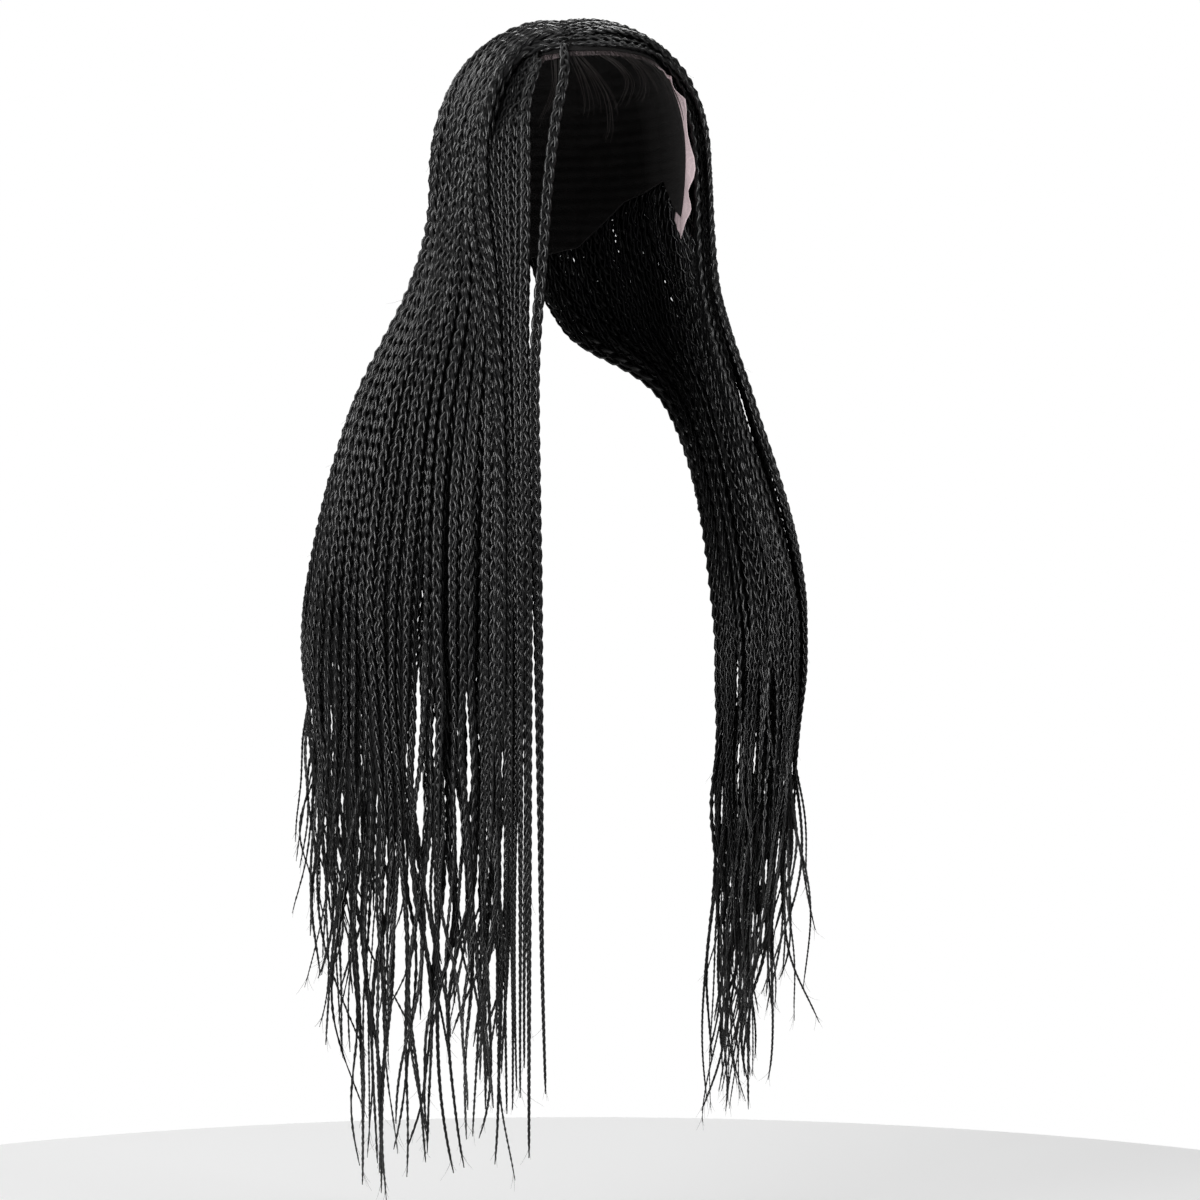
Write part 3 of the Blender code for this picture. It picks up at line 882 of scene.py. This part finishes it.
class WIG_OT_right_braids(bpy.types.Operator):
    """Braids that fall on the wearer's right, in place of the right locks"""

    bl_idname = "wig.right_braids"
    bl_label = "Right braids"

    def execute(self, context):
        braid_pieces("right", RIGHT_PIECES)
        return {"FINISHED"}


class WIG_OT_left_braids(bpy.types.Operator):
    """Braids that come forward over the wearer's left shoulder, in place of the left locks"""

    bl_idname = "wig.left_braids"
    bl_label = "Left braids"

    def execute(self, context):
        braid_pieces("left", LEFT_PIECES)
        return {"FINISHED"}


class WIG_OT_front_braids(bpy.types.Operator):
    """Two single braids that hang free beside the face"""

    bl_idname = "wig.front_braids"
    bl_label = "Front braids"

    def execute(self, context):
        sizes = context.scene.wig_braids
        rng = np.random.default_rng(SEEDS["front"])
        for name, points in FRONT_BRAIDS.items():
            centre = np.array([smooth(points, place) for place in np.linspace(0, len(points) - 1, 300)])
            centre = swayed(rng, centre, 0.8, 0.5, 6.0, 0.0)
            normal = np.tile(unit((-0.35, -0.94, 0.0)), (len(centre), 1))
            strands = Strands()
            spin = wander(rng, np.linspace(0, 1, len(centre)), 0.3, 3)
            hung_braid(strands, rng, centre, normal, sizes, *FRONT_DETAIL, spin, rng.uniform())
            piece = strands.build(f"{name}_plait", braiding_fibre())
            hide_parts(name)
            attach(piece, "root")
        return {"FINISHED"}


class WIG_OT_temple_braids(bpy.types.Operator):
    """Loose braids that hang from the right hairline, between the front braids and the right side"""

    bl_idname = "wig.temple_braids"
    bl_label = "Temple braids"

    def execute(self, context):
        sizes = context.scene.wig_braids
        group = Group(RIGHT_GUIDES, 1.0)
        rng = np.random.default_rng(SEEDS["temple"])
        strands = Strands()
        for share in TEMPLE_SHARES:
            whole = swayed(rng, temple_line(group, share), 1.2, 0.8, 5.0, 0.5)
            centre = whole[: int(rng.uniform(268, 300))]
            normal = np.tile(unit((-0.55, -0.84, 0.0)), (len(centre), 1))
            spin = wander(rng, np.linspace(0, 1, len(whole))[: len(centre)], 0.4, 3)
            start, scale = rng.uniform(), rng.uniform(*TEMPLE_SCALES)
            hung_braid(strands, rng, centre, normal, sizes, *TEMPLE_DETAIL, spin, start, scale)
        piece = strands.build("temple_braids", braiding_fibre())
        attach(piece, "root")
        return {"FINISHED"}


class WIG_OT_nape_braids(bpy.types.Operator):
    """Braids that cover the back of the cap, where the two sides part"""

    bl_idname = "wig.nape_braids"
    bl_label = "Nape braids"

    def execute(self, context):
        sizes = context.scene.wig_braids
        right, left = Group(RIGHT_GUIDES, 1.0), Group(LEFT_GUIDES, -1.0)
        rng = np.random.default_rng(SEEDS["nape"])
        strands = Strands()
        for share in NAPE_SHARES:
            centre, normal = nape_line(right, left, share)
            centre = swayed(rng, centre, 2.0, 1.0, 3.0, 1.0)
            spin = wander(rng, np.linspace(0, 1, len(centre)), 0.4, 3)
            hung_braid(strands, rng, centre, normal, sizes, *NAPE_DETAIL, spin, rng.uniform())
        piece = strands.build("nape_braids", braiding_fibre())
        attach(piece, "root")
        return {"FINISHED"}


class WIG_OT_lace(bpy.types.Operator):
    """Lace net past the cap's front edge, folded loosely at the left temple"""

    bl_idname = "wig.lace"
    bl_label = "Lace front"

    STEPS = 180
    ROWS = 8
    END_AZIMUTH = 84.0
    # A declared flat side may not be under 10 mm
    SMALLEST_SIDE = 0.0101

    def execute(self, context):
        sizes = context.scene.wig_lace
        shape = bmesh.new()
        bmesh.ops.create_grid(shape, x_segments=self.STEPS, y_segments=self.ROWS, size=1.0)
        inner = []
        for vertex in shape.verts:
            azimuth = self.END_AZIMUTH * vertex.co.x
            share = 0.5 * (vertex.co.y + 1.0)
            vertex.co = Vector(self.place(azimuth, share, sizes)) * MM
            if share < 1e-4:
                inner.append((azimuth, vertex.co.copy()))
        inner = [point for _, point in sorted(inner, key=lambda pair: pair[0])]
        area = sum(face.calc_area() for face in shape.faces)
        outer = bmesh.ops.extrude_face_region(shape, geom=shape.faces[:], use_keep_orig=True)
        for vertex in (item for item in outer["geom"] if isinstance(item, bmesh.types.BMVert)):
            vertex.co += Vector(head_normal(np.array(vertex.co) / MM)) * sizes.wall
        mesh = bpy.data.meshes.new("lace_front_net")
        bmesh.ops.recalc_face_normals(shape, faces=shape.faces)
        shape.to_mesh(mesh)
        shape.free()
        mesh.shade_smooth()
        mesh.materials.append(lace_net(linear(sizes.colour_hex)))
        piece = bpy.data.objects.new("lace_front_net", mesh)
        context.scene.collection.objects.link(piece)
        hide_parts("lace_front")
        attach(piece, "root")
        return {"FINISHED"}

    def place(self, azimuth, share, sizes):
        edge = direction(azimuth, edge_row(azimuth)[0])
        after, before = (direction(azimuth + step, edge_row(azimuth + step)[0]) for step in (1.0, -1.0))
        forward = unit(np.cross(after - before, edge))
        width, lift = edge_row(azimuth)[1:]
        angle = math.radians(azimuth)
        scallop = 0.6 * math.sin(angle * 43.0) + 0.4 * math.sin(angle * 71.0 + 1.0)
        loose = min(1.0, lift / 5.0)
        reach = (0.6 + (width + 0.9 * loose * scallop) * share) / HEAD_DOME
        fold = sizes.ruffle / MM * loose * share**1.3 * math.sin(angle * 62.0)
        return head_surface(unit(edge + forward * reach), 0.7 + lift * share * 0.8 + fold)


class WIG_OT_baby_hairs(bpy.types.Operator):
    """Fine short hairs tied along the lace, swept over the forehead"""

    bl_idname = "wig.baby_hairs"
    bl_label = "Baby hairs"

    def execute(self, context):
        sizes = context.scene.wig_lace
        rng = np.random.default_rng(SEEDS["baby"])
        strands = Strands()
        for guide in BABY_HAIRS:
            for _ in range(HAIRS_IN_CURL):
                start = rng.uniform(-3.0, 3.0)
                spread = rng.uniform(-2.2, 2.2)
                short = rng.uniform(0.55, 1.0)
                points = []
                for step in range(14):
                    place = (len(guide) - 1) * short * step / 13
                    azimuth, height = smooth(guide, place)
                    share = step / 13
                    lift = 0.8 + 2.2 * share
                    points.append(head_surface(direction(azimuth + start + spread * share * 2, height), lift))
                wisp(strands, np.array(points), sizes.hair_width / MM)
        for azimuth in np.linspace(-58.0, 62.0, 260):
            height = edge_row(azimuth)[0]
            tilt = rng.uniform(-2.0, 4.0)
            length = rng.uniform(2.5, 6.5)
            points = []
            for share in (0.0, 0.25, 0.5, 0.75, 1.0):
                way = direction(azimuth + tilt * share, height - length * share)
                points.append(head_surface(way, 1.0 + 0.5 * share))
            wisp(strands, np.array(points), sizes.hair_width / MM * 0.8)
        piece = strands.build("baby_hairs", fine_hair(linear("1B1412")))
        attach(piece, "root")
        return {"FINISHED"}


class WIG_OT_cap(bpy.types.Operator):
    """Net and weft finish on the cap"""

    bl_idname = "wig.cap"
    bl_label = "Cap"

    def execute(self, context):
        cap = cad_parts["wig_cap"]
        cap.data.materials.clear()
        cap.data.materials.append(cap_net(linear("1C1A1A")))
        return {"FINISHED"}


class WIG_OT_stage(bpy.types.Operator):
    """Floor, lights, surroundings and camera"""

    bl_idname = "wig.stage"
    bl_label = "Stage"

    # name, azimuth, elevation, distance, size, watts
    LIGHTS = [
        ("key", -58.0, 6.0, 2.4, 0.8, 34.0),
        ("fill", 34.0, 16.0, 2.7, 0.8, 18.0),
        ("overhead", 0.0, 90.0, 2.4, 2.4, 14.0),
        ("back_left", 150.0, 40.0, 2.7, 1.2, 24.0),
        ("back_right", -135.0, 40.0, 2.7, 1.2, 24.0),
    ]
    FLOOR_RADIUS = 0.8

    def execute(self, context):
        sizes = context.scene.wig_stage
        floor = self.floor(context, CAD_BOX[0].z - sizes.floor_drop)
        lights = [self.light(context, *row) for row in self.LIGHTS]
        world = self.surroundings()
        context.scene.world = world
        context.scene.view_settings.view_transform = "Standard"
        self.camera(context, sizes)
        return {"FINISHED"}

    def surroundings(self):
        """White behind the wig, dimmer as a source of light, so that the softboxes shape the hair."""
        world = bpy.data.worlds.new("studio")
        world.use_nodes = True
        tree = world.node_tree
        seen = tree.nodes["Background"]
        seen.inputs["Color"].default_value = linear("FFFFFF")
        seen.inputs["Strength"].default_value = 1.0
        ambient = add_node(tree, "ShaderNodeBackground", {}, {"Color": linear("FFFFFF"), "Strength": 0.14})
        path = add_node(tree, "ShaderNodeLightPath")
        mix = add_node(tree, "ShaderNodeMixShader", {}, {}, {"Fac": path.outputs["Is Camera Ray"]})
        tree.links.new(ambient.outputs["Background"], mix.inputs[1])
        tree.links.new(seen.outputs["Background"], mix.inputs[2])
        tree.links.new(mix.outputs["Shader"], tree.nodes["World Output"].inputs["Surface"])
        return world

    def floor(self, context, height):
        shape = bmesh.new()
        bmesh.ops.create_circle(shape, cap_ends=True, segments=128, radius=self.FLOOR_RADIUS)
        bmesh.ops.translate(shape, verts=shape.verts, vec=(0, 0, height))
        mesh = bpy.data.meshes.new("floor")
        shape.to_mesh(mesh)
        shape.free()
        mesh.materials.append(floor_paint(linear("FAFAFA")))
        floor = bpy.data.objects.new("floor", mesh)
        context.scene.collection.objects.link(floor)
        return floor

    def light(self, context, name, azimuth, elevation, distance, size, watts):
        lamp = bpy.data.lights.new(name, "AREA")
        lamp.size = size
        lamp.energy = watts
        made = bpy.data.objects.new(name, lamp)
        a, e = math.radians(azimuth), math.radians(elevation)
        back = Vector((math.sin(a) * math.cos(e), -math.cos(a) * math.cos(e), math.sin(e)))
        made.location = Vector((0, 0, -0.35)) + back * distance
        made.rotation_euler = (-back).to_track_quat("-Z", "Y").to_euler()
        context.scene.collection.objects.link(made)
        return made

    def camera(self, context, sizes):
        lens = bpy.data.cameras.new("camera")
        lens.lens = lens.sensor_width * sizes.distance / sizes.frame_width
        camera = bpy.data.objects.new("camera", lens)
        ahead = Vector((-math.sin(sizes.azimuth), math.cos(sizes.azimuth), 0.0))
        right = Vector((math.cos(sizes.azimuth), math.sin(sizes.azimuth), 0.0))
        place = right * sizes.centre_right - ahead * sizes.distance
        camera.location = place + Vector((0, 0, sizes.centre_height))
        camera.rotation_euler = ahead.to_track_quat("-Z", "Y").to_euler()
        context.scene.collection.objects.link(camera)
        context.scene.camera = camera


STEPS = (
    WIG_OT_stage,
    WIG_OT_cap,
    WIG_OT_right_braids,
    WIG_OT_left_braids,
    WIG_OT_front_braids,
    WIG_OT_temple_braids,
    WIG_OT_nape_braids,
    WIG_OT_lace,
    WIG_OT_baby_hairs,
)


class WIG_PT_panel(bpy.types.Panel):
    """Lists the wig's steps and sizes"""

    bl_idname = "WIG_PT_panel"
    bl_label = "Wig"
    bl_space_type = "VIEW_3D"
    bl_region_type = "UI"
    bl_category = "Wig"

    def draw(self, context):
        for step in STEPS:
            self.layout.operator(step.bl_idname)
        for sizes in (context.scene.wig_braids, context.scene.wig_lace, context.scene.wig_stage):
            for name in sizes.bl_rna.properties.keys():
                if name not in ("rna_type", "name"):
                    self.layout.prop(sizes, name)


CLASSES = (WigBraidSizes, WigLaceSizes, WigStageSizes, *STEPS, WIG_PT_panel)


def register():
    for item in CLASSES:
        bpy.utils.register_class(item)
    bpy.types.Scene.wig_braids = bpy.props.PointerProperty(type=WigBraidSizes)
    bpy.types.Scene.wig_lace = bpy.props.PointerProperty(type=WigLaceSizes)
    bpy.types.Scene.wig_stage = bpy.props.PointerProperty(type=WigStageSizes)


def unregister():
    del bpy.types.Scene.wig_stage
    del bpy.types.Scene.wig_lace
    del bpy.types.Scene.wig_braids
    for item in reversed(CLASSES):
        bpy.utils.unregister_class(item)


def main():
    register()
    bpy.ops.wig.stage()
    bpy.ops.wig.cap()
    bpy.ops.wig.right_braids()
    bpy.ops.wig.left_braids()
    bpy.ops.wig.front_braids()
    bpy.ops.wig.temple_braids()
    bpy.ops.wig.nape_braids()
    bpy.ops.wig.lace()
    bpy.ops.wig.baby_hairs()


if __name__ == "__main__":
    main()
